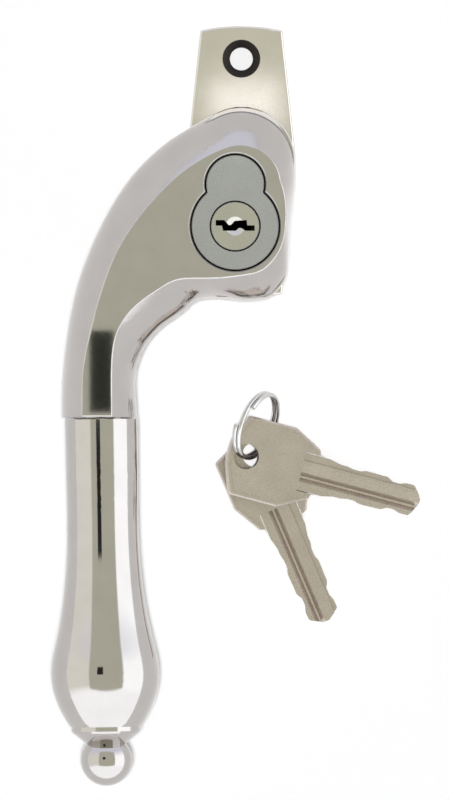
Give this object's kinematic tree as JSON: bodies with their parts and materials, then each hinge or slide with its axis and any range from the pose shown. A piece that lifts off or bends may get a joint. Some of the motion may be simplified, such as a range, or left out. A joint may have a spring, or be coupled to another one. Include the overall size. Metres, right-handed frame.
{
  "type": "keyed window lock handle",
  "caption": "Cranked window handle with a turned grip that turns on a screwed base plate, locked by a key-operated wafer lock in its boss; keys on a split ring lie beside it.",
  "frame": {"origin": "on the handle's pivot axis at the base plate's back face, midway between the screw holes", "axes": "+Z away from the window sash towards the user, +Y up the base plate, +X to the user's right; the handle hangs towards -Y in its closed position"},
  "size_m": [0.0765, 0.1572, 0.0415],
  "materials": {
    "handle_metal": "polished nickel plating on cast metal",
    "grip_metal": "polished nickel plating on turned metal",
    "finial_metal": "polished nickel plating on turned metal",
    "plate_metal": "polished nickel plating",
    "lock_zinc": "satin plated die-cast zinc",
    "plug_metal": "satin nickel plated brass",
    "inner_steel": "zinc plated",
    "bush_brass": "turned brass",
    "wafer_brass": "stamped brass",
    "spring_steel": "drawn wire",
    "key_metal": "tumbled nickel silver",
    "ring_metal": "nickel plated spring wire"
  },
  "bodies": {
    "rosette": {"base_plate": "plate_metal", "pivot_bush": "bush_brass"},
    "handle": {"handle_arm": "handle_metal", "spindle_sleeve": "inner_steel", "spindle_screw": "inner_steel", "friction_washer": "inner_steel", "retaining_ring": "inner_steel", "stop_pin": "inner_steel", "lock_housing": "lock_zinc", "lock_screw": "inner_steel", "grip": "grip_metal", "grip_stud": "inner_steel", "grip_finial": "finial_metal"},
    "plug": {"lock_plug": "plug_metal", "barrel_cam": "inner_steel", "cam_screw": "inner_steel", "plug_clip": "inner_steel", "wafer_spring_1": "spring_steel", "wafer_spring_2": "spring_steel", "wafer_spring_3": "spring_steel", "wafer_spring_4": "spring_steel", "wafer_spring_5": "spring_steel", "wafer_spring_6": "spring_steel"},
    "bolt": {"locking_bolt": "inner_steel", "cross_pin": "inner_steel"},
    "key_bunch": {"split_ring": "ring_metal"},
    "front_key": {"front_key": "key_metal"},
    "rear_key": {"rear_key": "key_metal"},
    "wafer_1": {"wafer_1": "wafer_brass"},
    "wafer_2": {"wafer_2": "wafer_brass"},
    "wafer_3": {"wafer_3": "wafer_brass"},
    "wafer_4": {"wafer_4": "wafer_brass"},
    "wafer_5": {"wafer_5": "wafer_brass"},
    "wafer_6": {"wafer_6": "wafer_brass"}
  },
  "joints": [
    {"name": "handle_turn", "type": "hinge", "parent": "rosette", "child": "handle", "pos_m": [0, 0, 0], "axis": [0, 0, -1], "range_deg": [0, 90]},
    {"name": "plug_turn", "type": "hinge", "parent": "handle", "child": "plug", "pos_m": [-0.0013, -0.01365, 0], "axis": [0, 0, -1], "range_deg": [0, 90]},
    {"name": "bolt_slide", "type": "slide", "parent": "handle", "child": "bolt", "axis": [0, 0, -1], "range_m": [0, 0.0033]},
    {"name": "wafer_1_slide", "type": "slide", "parent": "plug", "child": "wafer_1", "axis": [-1, 0, 0], "range_m": [0, 0.0006], "deforming": ["wafer_spring_1"]},
    {"name": "wafer_2_slide", "type": "slide", "parent": "plug", "child": "wafer_2", "axis": [1, 0, 0], "range_m": [0, 0.0006], "deforming": ["wafer_spring_2"]},
    {"name": "wafer_3_slide", "type": "slide", "parent": "plug", "child": "wafer_3", "axis": [-1, 0, 0], "range_m": [0, 0.0006], "deforming": ["wafer_spring_3"]},
    {"name": "wafer_4_slide", "type": "slide", "parent": "plug", "child": "wafer_4", "axis": [1, 0, 0], "range_m": [0, 0.0006], "deforming": ["wafer_spring_4"]},
    {"name": "wafer_5_slide", "type": "slide", "parent": "plug", "child": "wafer_5", "axis": [-1, 0, 0], "range_m": [0, 0.0006], "deforming": ["wafer_spring_5"]},
    {"name": "wafer_6_slide", "type": "slide", "parent": "plug", "child": "wafer_6", "axis": [1, 0, 0], "range_m": [0, 0.0006], "deforming": ["wafer_spring_6"]},
    {"name": "key_bunch_lift", "type": "slide", "parent": "rosette", "child": "key_bunch", "axis": [0, 0, 1], "range_m": [0, 0.06]},
    {"name": "front_key_swing", "type": "hinge", "parent": "key_bunch", "child": "front_key", "pos_m": [0.00085, -0.0611, 0.0073], "axis": [0.1545, -0.0411, 0.9871], "range_deg": [-5, 5]},
    {"name": "rear_key_swing", "type": "hinge", "parent": "key_bunch", "child": "rear_key", "pos_m": [0.00285, -0.0607, 0.0035], "axis": [0.0246, -0.0578, 0.998], "range_deg": [-5, 5]}
  ],
  "couplings": [
    {"joint": "bolt_slide", "follows": "plug_turn", "m_per_rad": 0.0020372},
    {"joint": "wafer_2_slide", "follows": "wafer_1_slide", "ratio": 1},
    {"joint": "wafer_3_slide", "follows": "wafer_1_slide", "ratio": 1},
    {"joint": "wafer_4_slide", "follows": "wafer_1_slide", "ratio": 1},
    {"joint": "wafer_5_slide", "follows": "wafer_1_slide", "ratio": 1},
    {"joint": "wafer_6_slide", "follows": "wafer_1_slide", "ratio": 1}
  ]
}
